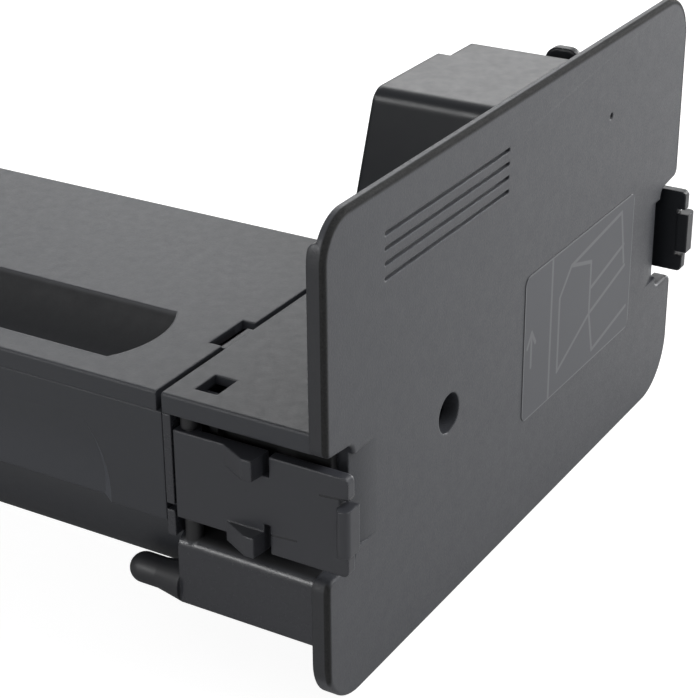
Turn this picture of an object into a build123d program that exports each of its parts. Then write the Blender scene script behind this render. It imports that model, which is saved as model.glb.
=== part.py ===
from build123d import *
import os
from math import acos, atan2, cos, degrees, pi, radians, sin, sqrt, tan

# A copier toner cartridge: a long toner tank behind a wide front plate that closes
# the machine's front, with a waste toner bin beside it. X runs across the plate, +Y
# into the machine and +Z up. The origin is the bottom centre of the whole cartridge.
# Places along the cartridge are depths behind the front plate's face.

# Whole cartridge
total_length = 430.0
plate_width = 161.0
plate_height = 99.4
latch_reach = 4.8
side_setback = 1.0
deck_height = 58.6
floor_height = 13.8
wall = 2.0
fit_gap = 0.2
running_gap = 0.06

half_plate = plate_width / 2
side_x = half_plate - side_setback
front_y = latch_reach - total_length / 2
rear_depth = total_length - latch_reach

# Front plate
plate_thickness = 3.5
lip_thickness = 2.1
lip_height = 4.4
lip_corner_radius = 1.3
corner_top_left = 8.5
corner_top_right = 11.0
corner_bottom_left = 11.0
corner_bottom_right = 13.0
plate_edge_radius = 0.7
sight_hole_inset = 45.9
sight_hole_height = 43.2
sight_hole_radius = 4.2
groove_inset = 20.5
groove_length = 49.1
groove_width = 0.9
groove_cut = 0.8
groove_count = 4
groove_pitch = 2.87
groove_top_height = 90.1
gate_inset = 42.0
gate_height = 81.8
gate_radius = 0.8
gate_cut = 0.5
notch_cut = 9.5
notch_bottom = 28.9
notch_top = 53.6
notch_flare = 1.0
notch_corner_radius = 2.0
roll_width = 8.0
roll_cut = 1.2
overcut = 1.0

# Sticker on the front plate
label_inset = 26.2
label_bottom = 25.5
label_width = 56.0
label_height = 33.5
label_thickness = 0.15
label_corner_radius = 2.0

# Front housing, behind the plate
front_depth = 35.7
box_top = 28.8
box_edge_radius = 3.0
floor_corner_radius = 0.8
box_depth = 33.7
pocket_end = 34.0
side_slot_bottom = 34.2
side_slot_height = 1.4
boss_radius = 1.7
pocket_depth = 6.5
housing_top_gap = 0.1

# Covers and lid
panel = 2.0
rim_drop = 4.0
rim_wall = 2.0
cover_edge_radius = 0.5
seam_gap = 1.3
tab_inset = 21.7
tab_width = 9.7
tab_reach = 1.7
tab_step = 0.4
seam_notch_width = 11.8
seam_notch_reach = 2.9
window_inset = 4.3
window_width = 6.8
window_front_depth = 26.3
window_length = 4.9
catch_gap = 0.5
catch_bottom = 49.0
catch_below_deck = 3.2

# Waste toner bin
bin_tank_gap = 4.1
bin_width = 40.2
bin_top = 93.0
bin_rear_depth = 36.8
bin_step_width = 10.0
bin_step = 3.0
bin_flare_left = 3.0
bin_flare_rear = 4.8
bin_edge_radius = 3.0
bin_plate_gap = 0.3
bin_cover_thickness = 2.0
bin_cover_inset = 1.0
port_width = 16.0
port_height = 9.0
port_bottom = 66.0
lug_depth = 10.7
lug_length = 8.2
lug_height = 15.0
lug_thickness = 2.0
lug_stand_off = 4.0
lug_radius = 3.0

# Squeeze latches
latch_thickness = 2.2
latch_bottom = 31.4
latch_height = 20.2
latch_tip = 3.8
latch_heel = 1.8
pivot_depth = 31.2
knuckle_radius = 2.2
latch_pin_radius = 1.0
boss_gap = 0.3
pin_seat = 1.2
detent_height = 4.2
detent_proud = 3.0
detent_ramp_depth = 22.4
detent_crest_depth = 16.6
detent_flat = 2.0
detent_step_slope = 0.5
shutoff_length = 1.5
shutoff_height = 6.0
grip_notch_bottom = 35.4
grip_notch_top = 47.2
grip_notch_cut = 1.8
grip_bottom = 36.4
grip_height = 9.6
grip_proud = 2.0
grip_inset = 2.3
grip_radius = 1.2
spring_depth = 18.0
spring_height = 41.5
spring_radius = 2.0
spring_wire_radius = 0.3
spring_turns = 3.5
spring_peg_radius = 1.3
spring_peg_length = 0.9

# Toner tank
ledge_height = 31.7
tank_side_wall = 5.0
tank_front_wall = 2.5
tank_rear_wall = 3.0
auger_trough_radius = 15.0
auger_height = 27.0
auger_inset = 5.0
agitator_trough_radius = 20.65
agitator_height = 34.5
scoop_top = 48.5
scoop_cut = 2.0
scoop_front_depth = 48.7
scoop_end_radius = 22.0
scoop_ramp = 3.0
scoop_length = 90.0
valley_inset = 7.2
valley_width = 22.9
valley_cut = 9.0
valley_front_depth = 49.9
valley_end_radius = 20.6
valley_length = 150.0

# Drive train
gear_module = 1.0
pressure_angle = 20.0
coupler_teeth = 16
auger_teeth = 22
agitator_teeth = 34
addendum = 0.9
dedendum = 1.2
backlash = 0.16
flank_steps = 3
tooth_sink = 0.2
gear_width = 8.0
gear_gap = 0.5
gear_room = 18.0
coupler_nose = 5.0
shaft_radius = 3.0
stud_radius = 2.5
dog_ring_radius = 6.5
dog_bore_radius = 3.6
dog_count = 3
dog_width = 3.0
cover_bore_gap = 0.6
seal_radius = 6.0
seal_length = 2.4

# Auger and agitator
auger_shaft_radius = 3.5
auger_radius = 12.4
flight_thickness = 1.6
flight_pitch = 40.0
flight_end_room = 6.0
journal_radius = 2.5
journal_length = 2.0
bush_radius = 5.0
blade_root = 2.4
blade_radius = 9.0
blade_end_room = 5.0
film_radius = 18.1
film_thickness = 0.4
film_slit = 2.0
film_slit_count = 9
stake_count = 6
stake_radius = 1.0
stake_height = 0.8

# Toner outlet under the tank
outlet_inset = 51.0
outlet_length = 16.0
outlet_width = 12.0
collar_wall = 2.5
collar_bottom = 10.4
gasket_thickness = 0.8
shutter_thickness = 1.6
shutter_travel = 20.0
shutter_gap = 0.15
shutter_overlap = 2.0
rail_wall = 1.5
rail_lip = 1.2
rail_floor = 1.2
thumb_rib = 1.2

# Guide peg under the left latch
peg_inset = 3.0
peg_height = 17.1
peg_radius = 3.1
peg_end_depth = 47.0
peg_root_radius = 4.1
peg_root_length = 6.0

# Rear cover, fill plug, memory board and screws
plug_height = 44.0
plug_radius = 7.0
plug_lip_radius = 7.4
plug_lip = 0.8
board_width = 12.0
board_length = 9.0
board_thickness = 1.0
board_seat = 0.8
board_height = 44.0
pad_count = 4
pad_size = 1.8
pad_pitch = 2.5
pad_thickness = 0.1
screw_radius = 1.3
screw_head_radius = 2.7
screw_head = 1.8
screw_length = 9.0
screw_boss_radius = 3.6


def facing_front(depth):
    """Plane across the cartridge, that far behind the plate's face, looking forwards."""
    return Plane(origin=(0, front_y + depth, 0), x_dir=(1, 0, 0), z_dir=(0, -1, 0))


def facing_left(x):
    """Upright plane along the cartridge at x. Its own x is +Y and its own y is +Z."""
    return Plane(origin=(x, front_y, 0), x_dir=(0, 1, 0), z_dir=(1, 0, 0))


def from_above(height):
    """Level plane at a height, with the plate's face on its own x axis."""
    return Plane(origin=(0, front_y, height), x_dir=(1, 0, 0), z_dir=(0, 0, 1))


def panel_between(x_low, x_high, z_low, z_high, mode=Mode.ADD):
    """A rectangle given by its limits, for use inside a sketch."""
    with Locations(((x_low + x_high) / 2, (z_low + z_high) / 2)):
        return Rectangle(x_high - x_low, z_high - z_low, mode=mode)


# Places that follow from the sizes above
rim_height = deck_height - rim_drop
pocket_roof = rim_height - housing_top_gap
housing_top = deck_height - panel - housing_top_gap
pocket_x = side_x - pocket_depth
latch_inner_x = side_x - latch_thickness
latch_top = latch_bottom + latch_height
pivot_x = side_x - knuckle_radius
tank_front = front_depth + fit_gap
cover_rear = rear_depth - coupler_nose
tank_rear = cover_rear - gear_room
lid_front = front_depth + seam_gap
auger_x = auger_inset + auger_trough_radius - side_x

outlet_depth = tank_rear - outlet_inset
sight_hole_x = sight_hole_inset - half_plate
groove_left_x = groove_inset - half_plate
gate_x = half_plate - gate_inset
label_left_x = half_plate - label_inset - label_width
tab_left_x = tab_inset - side_x
window_left_x = window_inset - side_x
valley_left_x = valley_inset - side_x
valley_right_x = valley_left_x + valley_width
peg_x = peg_inset - side_x

# The coupler's gear drives the auger's gear and the agitator's gear. The two shafts lie
# as far apart as their troughs need, and the coupler's axis closes the triangle.
shaft_gap = auger_trough_radius + agitator_trough_radius + fit_gap
shaft_rise = agitator_height - auger_height
agitator_x = auger_x + sqrt(shaft_gap**2 - shaft_rise**2)
tank_right_x = agitator_x + agitator_trough_radius
plug_x = (auger_x + agitator_x) / 2
bin_left_x = tank_right_x + bin_tank_gap
bin_right_x = bin_left_x + bin_width
bin_step_x = bin_right_x - bin_step_width
auger_mesh = gear_module * (coupler_teeth + auger_teeth) / 2
agitator_mesh = gear_module * (coupler_teeth + agitator_teeth) / 2
along = (auger_mesh**2 - agitator_mesh**2 + shaft_gap**2) / (2 * shaft_gap)
above = sqrt(auger_mesh**2 - along**2)
line_angle = atan2(shaft_rise, agitator_x - auger_x)
coupler_x = auger_x + along * cos(line_angle) - above * sin(line_angle)
coupler_height = auger_height + along * sin(line_angle) + above * cos(line_angle)


# Front plate: a broad moulded panel with an uneven set of corners and a thinner lip along
# its top. It has a notch on each side for the latches, where its face rolls back, a sight
# hole and four grip grooves.
with BuildPart() as front_plate:
    with BuildSketch(facing_front(plate_thickness)):
        panel_between(-half_plate, half_plate, 0, plate_height)
        for row, column, radius in (
            (-1, 0, corner_top_left),
            (-1, -1, corner_top_right),
            (0, 0, corner_bottom_left),
            (0, -1, corner_bottom_right),
        ):
            fillet(vertices().group_by(Axis.Y)[row].sort_by(Axis.X)[column], radius)
        for side in (-1, 1):
            with BuildLine():
                Polyline(
                    (side * (half_plate + overcut), notch_bottom),
                    (side * (half_plate - notch_cut), notch_bottom),
                    (side * (half_plate - notch_cut), notch_top),
                    (side * half_plate, notch_top + notch_flare),
                    (side * (half_plate + overcut), notch_top + notch_flare),
                    close=True,
                )
            make_face(mode=Mode.SUBTRACT)
        notch_corners = vertices().filter_by(
            lambda corner: notch_bottom - overcut < corner.Y < notch_top + notch_flare + overcut
        )
        fillet(notch_corners, notch_corner_radius)
    extrude(amount=plate_thickness)
    front_rim = front_plate.faces().sort_by(Axis.Y)[0].outer_wire().edges()
    fillet(front_rim, plate_edge_radius)
    with BuildSketch(facing_left(-half_plate)):
        panel_between(
            lip_thickness,
            plate_thickness + overcut,
            plate_height - lip_height,
            plate_height + overcut,
        )
    extrude(amount=plate_width, mode=Mode.SUBTRACT)
    lip_step = edges().filter_by(Axis.X).group_by(Axis.Y)[-1].sort_by(Axis.Z)[-1]
    fillet(lip_step, lip_corner_radius)
    roll_radius = (roll_width**2 + roll_cut**2) / (2 * roll_cut)
    with BuildSketch(from_above(latch_bottom)):
        for side in (-1, 1):
            roll_edge = side * (half_plate - notch_cut)
            roll_start = side * (half_plate - notch_cut - roll_width)
            panel_between(min(roll_edge, roll_start), max(roll_edge, roll_start), 0, roll_cut)
            with Locations((roll_start, roll_radius)):
                Circle(roll_radius, mode=Mode.SUBTRACT)
    extrude(amount=latch_height, mode=Mode.SUBTRACT)
    with BuildSketch(facing_front(0)):
        with Locations((groove_left_x + groove_length / 2, groove_top_height)):
            for row in range(groove_count):
                with Locations((0, -row * groove_pitch)):
                    SlotOverall(groove_length, groove_width)
    extrude(amount=-groove_cut, mode=Mode.SUBTRACT)
    with BuildSketch(facing_front(0)):
        with Locations((gate_x, gate_height)):
            Circle(gate_radius)
    extrude(amount=-gate_cut, mode=Mode.SUBTRACT)
    with BuildSketch(facing_front(0)):
        with Locations((sight_hole_x, sight_hole_height)):
            Circle(sight_hole_radius)
    extrude(amount=-plate_thickness, mode=Mode.SUBTRACT)

# Sticker with one rounded corner
with BuildPart() as label:
    with BuildSketch(facing_front(0)):
        panel_between(
            label_left_x,
            label_left_x + label_width,
            label_bottom,
            label_bottom + label_height,
        )
        fillet(vertices(), label_corner_radius)
    extrude(amount=label_thickness)


# Front housing: a tray behind the plate. Its section steps in at each side to form the
# pockets that the latches lie in, above a closed box with a rounded shoulder. At each side
# the box stops short of the housing's rear, and a slotted panel closes the pocket's end.
housing_shoulder_x = side_x - rim_wall - fit_gap
with BuildSketch() as housing_section:
    with BuildLine():
        Polyline(
            (side_x, floor_height),
            (side_x, box_top),
            (pocket_x, box_top),
            (pocket_x, pocket_roof),
            (housing_shoulder_x, pocket_roof),
            (housing_shoulder_x, housing_top),
            (-housing_shoulder_x, housing_top),
            (-housing_shoulder_x, pocket_roof),
            (-pocket_x, pocket_roof),
            (-pocket_x, box_top),
            (-side_x, box_top),
            (-side_x, floor_height),
            close=True,
        )
    make_face()
    shoulders = vertices().filter_by(lambda corner: abs(corner.X) > housing_shoulder_x + fit_gap)
    fillet(shoulders.group_by(Axis.Y)[-1], box_edge_radius)
    fillet(vertices().group_by(Axis.Y)[0], floor_corner_radius)

bin_slot_left_x = bin_left_x - bin_plate_gap
bin_slot_right_x = bin_right_x + bin_plate_gap
housing_floor = floor_height + wall
with BuildPart() as front_housing:
    with BuildSketch(facing_front(front_depth)):
        add(housing_section.sketch)
    extrude(amount=front_depth - plate_thickness)
    with BuildSketch(facing_front(front_depth - wall)):
        add(housing_section.sketch)
        offset(amount=-wall)
        panel_between(wall - pocket_x, pocket_x - wall, box_top, deck_height)
    extrude(amount=front_depth, mode=Mode.SUBTRACT)
    with BuildSketch(facing_front(front_depth)):
        panel_between(bin_slot_left_x, bin_slot_right_x, housing_floor, deck_height)
    extrude(amount=front_depth, mode=Mode.SUBTRACT)
    # Rear wall of the box at each side, in front of the housing's own rear wall
    with BuildSketch(facing_front(box_depth)):
        add(housing_section.sketch)
        panel_between(wall - pocket_x, pocket_x - wall, 0, deck_height, Mode.SUBTRACT)
    extrude(amount=wall)
    for side in (-1, 1):
        inner_x, outer_x = sorted((side * pocket_x, side * half_plate))
        with BuildSketch(facing_front(front_depth)):
            panel_between(inner_x, outer_x, 0, box_top)
        extrude(amount=front_depth - box_depth, mode=Mode.SUBTRACT)
        # Panel that closes the pocket's rear end, with a slot in its side
        inner_x, outer_x = sorted((side * (pocket_x - wall), side * side_x))
        with BuildSketch(facing_front(front_depth)):
            panel_between(inner_x, outer_x, box_top, pocket_roof)
        extrude(amount=front_depth - pocket_end)
        with BuildSketch(facing_left(side * side_x)):
            panel_between(
                pocket_end,
                front_depth,
                side_slot_bottom,
                side_slot_bottom + side_slot_height,
            )
        extrude(amount=-side * wall, mode=Mode.SUBTRACT)
        # Bosses that hold the latch's pin, with the pin's hole
        with BuildSketch(from_above(box_top - box_edge_radius)):
            with Locations((side * pivot_x, pivot_depth)):
                Circle(boss_radius)
        extrude(amount=latch_bottom + latch_heel - boss_gap - box_top + box_edge_radius)
        with BuildSketch(from_above(latch_top + boss_gap)):
            with Locations((side * pivot_x, pivot_depth)):
                Circle(boss_radius)
        extrude(amount=pocket_roof - latch_top - boss_gap)
        with BuildSketch(from_above(box_top - pin_seat)):
            with Locations((side * pivot_x, pivot_depth)):
                Circle(latch_pin_radius)
        extrude(amount=pocket_roof - box_top + pin_seat, mode=Mode.SUBTRACT)
        # Peg that centres the latch spring on the pocket's wall
        with BuildSketch(facing_left(side * pocket_x)):
            with Locations((spring_depth, spring_height)):
                Circle(spring_peg_radius)
        extrude(amount=side * spring_peg_length)
    # Catch below the end cover's window
    with BuildSketch(from_above(catch_bottom)):
        panel_between(
            window_left_x + catch_gap,
            window_left_x + window_width - catch_gap,
            window_front_depth + catch_gap,
            window_front_depth + window_length / 2,
        )
    extrude(amount=deck_height - catch_below_deck - catch_bottom)
    # Guide peg behind the box: a domed pin that swells towards the box and is rooted in it
    with BuildSketch(Plane(origin=(peg_x, front_y, peg_height), x_dir=(0, 1, 0), z_dir=(1, 0, 0))):
        with BuildLine():
            tip = peg_end_depth - peg_radius
            root = box_depth + peg_root_length
            rooted = peg_inset - fit_gap
            Line((box_depth - wall, 0), (peg_end_depth, 0))
            CenterArc((tip, 0), peg_radius, 0, 90)
            Polyline(
                (tip, peg_radius),
                (root, peg_radius),
                (box_depth, peg_root_radius),
                (box_depth, rooted),
                (box_depth - wall, rooted),
                (box_depth - wall, 0),
            )
        make_face()
    revolve(axis=Axis((peg_x, front_y, peg_height), (0, 1, 0)))

# End cover over the left of the housing: a panel with a side rim, a tab that points into
# the lid's notch and a window over the housing's catch
with BuildPart() as end_cover:
    with BuildSketch(facing_front(front_depth)):
        panel_between(-side_x, bin_slot_left_x, rim_height, deck_height)
        panel_between(rim_wall - side_x, bin_slot_left_x, rim_height, deck_height - panel, Mode.SUBTRACT)
    extrude(amount=front_depth - plate_thickness)
    side_edge = edges().filter_by(Axis.Y).group_by(Axis.Z)[-1].sort_by(Axis.X)[0]
    fillet(side_edge, cover_edge_radius)
    with BuildSketch(from_above(deck_height - panel)):
        panel_between(tab_left_x, tab_left_x + tab_width, front_depth, front_depth + tab_reach)
    extrude(amount=panel - tab_step)
    with BuildSketch(from_above(deck_height - panel)):
        panel_between(
            window_left_x,
            window_left_x + window_width,
            window_front_depth,
            window_front_depth + window_length,
        )
    extrude(amount=panel, mode=Mode.SUBTRACT)

# Side cover over the right of the housing, beyond the waste toner bin
with BuildPart() as side_cover:
    with BuildSketch(facing_front(front_depth)):
        panel_between(bin_slot_right_x, side_x, rim_height, deck_height)
        panel_between(bin_slot_right_x, side_x - rim_wall, rim_height, deck_height - panel, Mode.SUBTRACT)
    extrude(amount=front_depth - plate_thickness)
    side_edge = edges().filter_by(Axis.Y).group_by(Axis.Z)[-1].sort_by(Axis.X)[-1]
    fillet(side_edge, cover_edge_radius)

# Waste toner bin: a tall shell with soft edges that widens towards the deck, open at the
# back for its own cover, with a curved lug on its right side. Its back steps forward at
# the right.
bin_front = plate_thickness + bin_plate_gap
bin_floor = housing_floor + fit_gap


def bin_plan(height, flare_left, flare_rear):
    """The bin's outline at a height, grown by the flares on its left and at its rear."""
    left = bin_left_x - flare_left
    rear = bin_rear_depth + flare_rear
    with BuildSketch(from_above(height)) as plan:
        with BuildLine():
            Polyline(
                (left, bin_front),
                (bin_right_x, bin_front),
                (bin_right_x, rear - bin_step),
                (bin_step_x, rear - bin_step),
                (bin_step_x, rear),
                (left, rear),
                close=True,
            )
        make_face()
    return plan.sketch


with BuildPart() as waste_bin:
    extrude(bin_plan(bin_floor, 0, 0), amount=bin_top - bin_floor)
    flared = bin_plan(deck_height + fit_gap, bin_flare_left, bin_flare_rear)
    loft((flared, bin_plan(bin_top, 0, 0)))
    long_edges = edges().filter_by(Axis.Y).group_by(Axis.Z)[-1]
    fillet(long_edges, bin_edge_radius)
    with BuildSketch(facing_front(bin_rear_depth + bin_flare_rear)):
        panel_between(bin_left_x + wall, bin_step_x - wall, bin_floor + wall, bin_top - wall)
    extrude(amount=bin_rear_depth + bin_flare_rear - bin_front - wall, mode=Mode.SUBTRACT)
    with BuildSketch(facing_front(bin_rear_depth - bin_step - wall)):
        panel_between(bin_step_x - wall, bin_right_x - wall, bin_floor + wall, bin_top - wall)
    extrude(amount=bin_rear_depth - bin_step - bin_front - 2 * wall, mode=Mode.SUBTRACT)
    with BuildSketch(facing_left(bin_right_x)):
        panel_between(lug_depth, lug_depth + lug_length, bin_top - lug_height, bin_top)
        fillet(vertices().group_by(Axis.Y)[-1], lug_radius)
    extrude(amount=lug_stand_off + lug_thickness)
    with BuildSketch(facing_left(bin_right_x)):
        panel_between(0, bin_rear_depth, bin_top - lug_height + wall, bin_top + wall)
    extrude(amount=lug_stand_off, mode=Mode.SUBTRACT)

# Cover that closes the waste toner bin's back, with its inlet port
with BuildPart() as waste_bin_cover:
    with BuildSketch(facing_front(bin_rear_depth - bin_cover_inset)):
        panel_between(
            bin_left_x + wall + fit_gap,
            bin_step_x - wall - fit_gap,
            bin_floor + wall + fit_gap,
            bin_top - wall - fit_gap,
        )
        port_x = (bin_left_x + bin_step_x) / 2
        with Locations((port_x, port_bottom + port_height / 2)):
            RectangleRounded(port_width, port_height, wall, mode=Mode.SUBTRACT)
    extrude(amount=bin_cover_thickness)

# Left latch: a sprung lever on a pin at its rear end. Two wedge detents face the rear
# with their ramps, and the finger end has a notch and a grip block.
detent_levels = (latch_bottom, latch_top - detent_height)
with BuildPart() as latch_left:
    with BuildSketch(from_above(latch_bottom)):
        panel_between(-side_x, -latch_inner_x, -latch_tip, pivot_depth + knuckle_radius)
        with Locations((-pivot_x, pivot_depth)):
            Circle(knuckle_radius)
    extrude(amount=latch_height)
    tip_edges = edges().filter_by(Axis.X).group_by(Axis.Y)[0]
    fillet(tip_edges, grip_radius)
    with BuildSketch(facing_left(-side_x)):
        panel_between(-latch_tip, grip_notch_cut - latch_tip, grip_notch_bottom, grip_notch_top)
    extrude(amount=latch_thickness, mode=Mode.SUBTRACT)
    with BuildSketch(facing_left(-side_x)):
        panel_between(
            detent_ramp_depth,
            pivot_depth + knuckle_radius,
            latch_bottom,
            latch_bottom + latch_heel,
        )
    extrude(amount=2 * knuckle_radius, mode=Mode.SUBTRACT)
    for level in detent_levels:
        with BuildSketch(from_above(level)):
            with BuildLine():
                crest_x = -side_x - detent_proud
                flat_depth = detent_crest_depth - detent_flat
                Polyline(
                    (-latch_inner_x, detent_ramp_depth),
                    (-side_x, detent_ramp_depth),
                    (crest_x, detent_crest_depth),
                    (crest_x, flat_depth),
                    (-side_x, flat_depth - detent_step_slope),
                    (-latch_inner_x, flat_depth - detent_step_slope),
                    close=True,
                )
            make_face()
        extrude(amount=detent_height)
    shutoff_end = detent_crest_depth - detent_flat - detent_step_slope
    with BuildSketch(facing_left(-side_x)):
        panel_between(shutoff_end - shutoff_length, shutoff_end, latch_bottom, latch_bottom + shutoff_height)
        panel_between(shutoff_end - shutoff_length, shutoff_end, latch_top - detent_height, latch_top)
    extrude(amount=latch_thickness, mode=Mode.SUBTRACT)
    with BuildSketch(from_above(grip_bottom)):
        grip_root = grip_notch_cut - latch_tip
        panel_between(-side_x - grip_proud, grip_inset - side_x, -latch_reach, grip_root)
        fillet(vertices().group_by(Axis.X)[0], grip_radius)
    extrude(amount=grip_height)
    with BuildSketch(facing_left(-latch_inner_x)):
        with Locations((spring_depth, spring_height)):
            Circle(spring_peg_radius)
    extrude(amount=spring_peg_length)
    with BuildSketch(from_above(latch_bottom)):
        with Locations((-pivot_x, pivot_depth)):
            Circle(latch_pin_radius + running_gap)
    extrude(amount=latch_height, mode=Mode.SUBTRACT)

with BuildPart() as latch_right:
    mirror(latch_left.part, about=Plane.YZ)

# Steel pins that the latches turn on
with BuildPart() as latch_pin_left:
    with BuildSketch(from_above(box_top - pin_seat)):
        with Locations((-pivot_x, pivot_depth)):
            Circle(latch_pin_radius)
    extrude(amount=pocket_roof - box_top + pin_seat)

with BuildPart() as latch_pin_right:
    mirror(latch_pin_left.part, about=Plane.YZ)

# Coil springs that push the latches outwards
spring_room = pocket_depth - latch_thickness
spring_height_free = spring_room - 2 * spring_wire_radius - fit_gap
with BuildPart() as latch_spring_left:
    with BuildLine() as coil:
        Helix(
            pitch=spring_height_free / spring_turns,
            height=spring_height_free,
            radius=spring_radius,
            center=(
                spring_wire_radius + fit_gap / 2 - latch_inner_x,
                front_y + spring_depth,
                spring_height,
            ),
            direction=(1, 0, 0),
        )
    with BuildSketch(Plane(origin=coil.wire() @ 0, z_dir=coil.wire() % 0)):
        RegularPolygon(spring_wire_radius, 6)
    sweep(path=coil.wire(), is_frenet=True)

with BuildPart() as latch_spring_right:
    mirror(latch_spring_left.part, about=Plane.YZ)


# Toner tank: a skirted trough with a round bottom for the auger and a larger one for the
# agitator, open at the top for its lid
with BuildSketch() as tank_section:
    with Locations((auger_x, auger_height)):
        Circle(auger_trough_radius)
    with Locations((agitator_x, agitator_height)):
        Circle(agitator_trough_radius)
    panel_between(-side_x, tank_right_x, ledge_height, rim_height)
    panel_between(-side_x, tank_right_x, 0, rim_height, mode=Mode.INTERSECT)

with BuildSketch() as toner_section:
    with Locations((auger_x, auger_height)):
        Circle(auger_trough_radius - wall)
    with Locations((agitator_x, agitator_height)):
        Circle(agitator_trough_radius - wall)
    panel_between(tank_side_wall - side_x, tank_right_x - wall, ledge_height + wall, rim_height)
    panel_between(-side_x, tank_right_x, 0, rim_height, mode=Mode.INTERSECT)

shaft_points = ((auger_x, auger_height), (agitator_x, agitator_height))
screw_points = (
    (-side_x + screw_boss_radius + wall + fit_gap, rim_height - screw_boss_radius),
    (tank_right_x - screw_boss_radius - wall - fit_gap, rim_height - screw_boss_radius),
)
outlet_left_x = auger_x - outlet_width / 2
outlet_right_x = auger_x + outlet_width / 2
outlet_rear = outlet_depth + outlet_length

with BuildPart() as toner_tank:
    with BuildSketch(facing_front(tank_rear)):
        add(tank_section.sketch)
    extrude(amount=tank_rear - tank_front)
    with BuildSketch(facing_front(tank_rear - tank_rear_wall)):
        add(toner_section.sketch)
    extrude(amount=tank_rear - tank_rear_wall - tank_front - tank_front_wall, mode=Mode.SUBTRACT)
    with BuildSketch(from_above(0)):
        panel_between(outlet_left_x, outlet_right_x, outlet_depth, outlet_rear)
    extrude(amount=auger_height, mode=Mode.SUBTRACT)
    # Openings in the end walls for the shaft seals, the bushes and the fill plug
    with BuildSketch(facing_front(tank_rear)):
        with Locations(*shaft_points):
            Circle(seal_radius)
    extrude(amount=tank_rear_wall, mode=Mode.SUBTRACT)
    with BuildSketch(facing_front(tank_front + tank_front_wall)):
        with Locations(*shaft_points):
            Circle(bush_radius)
    extrude(amount=tank_front_wall, mode=Mode.SUBTRACT)
    with BuildSketch(facing_front(tank_front + tank_front_wall)):
        with Locations((plug_x, plug_height)):
            Circle(plug_radius)
    extrude(amount=tank_front_wall, mode=Mode.SUBTRACT)
    # Stud for the coupler and bosses for the rear cover's screws
    with BuildSketch(facing_front(tank_rear)):
        with Locations((coupler_x, coupler_height)):
            Circle(stud_radius)
    extrude(amount=-(gear_room - wall - gear_gap))
    for place in screw_points:
        with BuildSketch(facing_front(tank_rear)):
            with Locations(place):
                Circle(screw_boss_radius)
                Circle(screw_radius, mode=Mode.SUBTRACT)
        extrude(amount=-(gear_room - wall - fit_gap))
    # Finger scoop in the side: it deepens downwards and ends in curved ramps
    with BuildPart(mode=Mode.PRIVATE) as scoop_tool:
        with BuildSketch(facing_left(-side_x)):
            with Locations(
                (scoop_front_depth + scoop_end_radius, ledge_height + wall),
                (scoop_front_depth + scoop_length - scoop_end_radius, ledge_height + wall),
            ):
                Circle(scoop_end_radius)
        extrude(amount=scoop_cut, taper=degrees(atan2(scoop_ramp, scoop_cut)))
        with BuildSketch(facing_left(-side_x)):
            panel_between(
                scoop_front_depth + scoop_end_radius,
                scoop_front_depth + scoop_length - scoop_end_radius,
                ledge_height - scoop_end_radius,
                scoop_top + wall,
            )
        extrude(amount=scoop_cut)
        with BuildSketch(facing_front(scoop_front_depth + scoop_length)):
            with BuildLine():
                Polyline(
                    (-side_x - wall, scoop_top),
                    (-side_x, scoop_top),
                    (-side_x + scoop_cut, ledge_height),
                    (-side_x + scoop_cut, 0),
                    (-side_x - wall, 0),
                    close=True,
                )
            make_face()
        extrude(amount=scoop_length, mode=Mode.INTERSECT)
    add(scoop_tool.part, mode=Mode.SUBTRACT)


# Valley in the lid: a round-bottomed trough whose front end is a disc turned about an
# upright axis, so the rim ends in a shallow arc
valley_middle_x = (valley_left_x + valley_right_x) / 2
valley_half = (valley_right_x - valley_left_x) / 2


def valley_form(grow):
    """The valley's hollow, or with grow set its outer shape below the lid."""
    cut = valley_cut + grow
    half = valley_half + grow
    radius = (half**2 + cut**2) / (2 * cut)
    front_turn = valley_front_depth + valley_end_radius
    rear_turn = valley_front_depth + valley_length - valley_end_radius
    top = deck_height
    with BuildPart() as form:
        with BuildSketch(facing_front(valley_front_depth + valley_length + grow)):
            with Locations((valley_middle_x, top - cut + radius)):
                Circle(radius)
            panel_between(valley_left_x - grow, valley_right_x + grow, top - cut, top, Mode.INTERSECT)
        extrude(amount=valley_length + 2 * grow)
        with BuildPart(mode=Mode.PRIVATE) as ends:
            reach = valley_end_radius + grow
            for turn_depth in (front_turn, rear_turn):
                turn_point = (valley_middle_x, front_y + turn_depth, 0)
                with BuildSketch(Plane(origin=turn_point, x_dir=(1, 0, 0), z_dir=(0, -1, 0))):
                    with BuildLine():
                        Line((0, top), (reach, top))
                        RadiusArc((reach, top), (reach - cut, top - cut), cut)
                        Line((reach - cut, top - cut), (0, top - cut))
                        Line((0, top - cut), (0, top))
                    make_face()
                revolve(axis=Axis(turn_point, (0, 0, 1)))
            with BuildSketch(facing_front(rear_turn)):
                panel_between(valley_middle_x - reach, valley_middle_x + reach, top - cut, top)
            extrude(amount=rear_turn - front_turn)
        add(ends.part, mode=Mode.INTERSECT)
    return form.part


# Hopper lid over the tank
with BuildPart() as hopper_lid:
    with BuildSketch(facing_front(tank_rear)):
        panel_between(-side_x, tank_right_x, rim_height, deck_height)
    extrude(amount=tank_rear - lid_front)
    fillet(edges().filter_by(Axis.Y).group_by(Axis.Z)[-1], cover_edge_radius)
    with BuildSketch(facing_front(tank_rear - rim_wall)):
        panel_between(rim_wall - side_x, tank_right_x - rim_wall, rim_height, deck_height - panel)
    extrude(amount=tank_rear - lid_front - 2 * rim_wall, mode=Mode.SUBTRACT)
    add(valley_form(panel))
    add(valley_form(0), mode=Mode.SUBTRACT)
    with BuildSketch(from_above(deck_height - panel)):
        panel_between(
            tab_left_x,
            tab_left_x + seam_notch_width,
            lid_front,
            lid_front + seam_notch_reach,
        )
    extrude(amount=panel, mode=Mode.SUBTRACT)


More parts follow.
